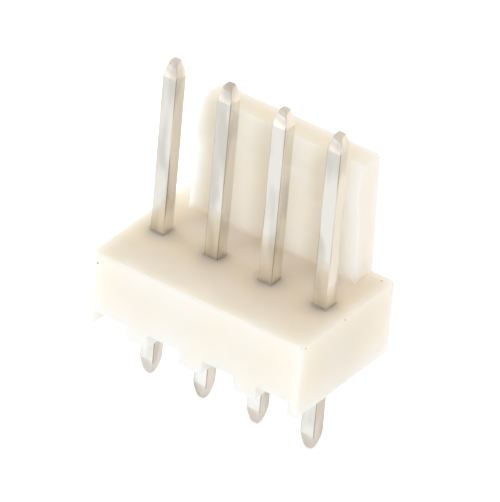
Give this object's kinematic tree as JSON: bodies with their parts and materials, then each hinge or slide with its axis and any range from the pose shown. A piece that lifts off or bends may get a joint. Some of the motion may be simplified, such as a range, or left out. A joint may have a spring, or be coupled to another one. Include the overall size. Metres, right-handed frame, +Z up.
{
  "type": "wire to board pin header",
  "caption": "Vertical board header: moulded natural nylon housing with a friction lock wall behind a row of square tin-plated pins, soldered to a board and mated by a wire plug from above.",
  "frame": {"origin": "middle of the pin row on the seating plane, where the feet of the housing meet the board", "axes": "+Z up along the pins, away from the board; +X along the row; +Y towards the friction lock wall"},
  "size_m": [0.01, 0.0062, 0.0144],
  "materials": {
    "housing_nylon": "natural nylon, injection moulded, fine satin surface, slightly translucent",
    "tinned_pin": "drawn square brass wire with bright tin plate, coined ends"
  },
  "bodies": {
    "root": {"housing": "housing_nylon", "pin_1": "tinned_pin", "pin_2": "tinned_pin", "pin_3": "tinned_pin", "pin_4": "tinned_pin"}
  },
  "joints": []
}
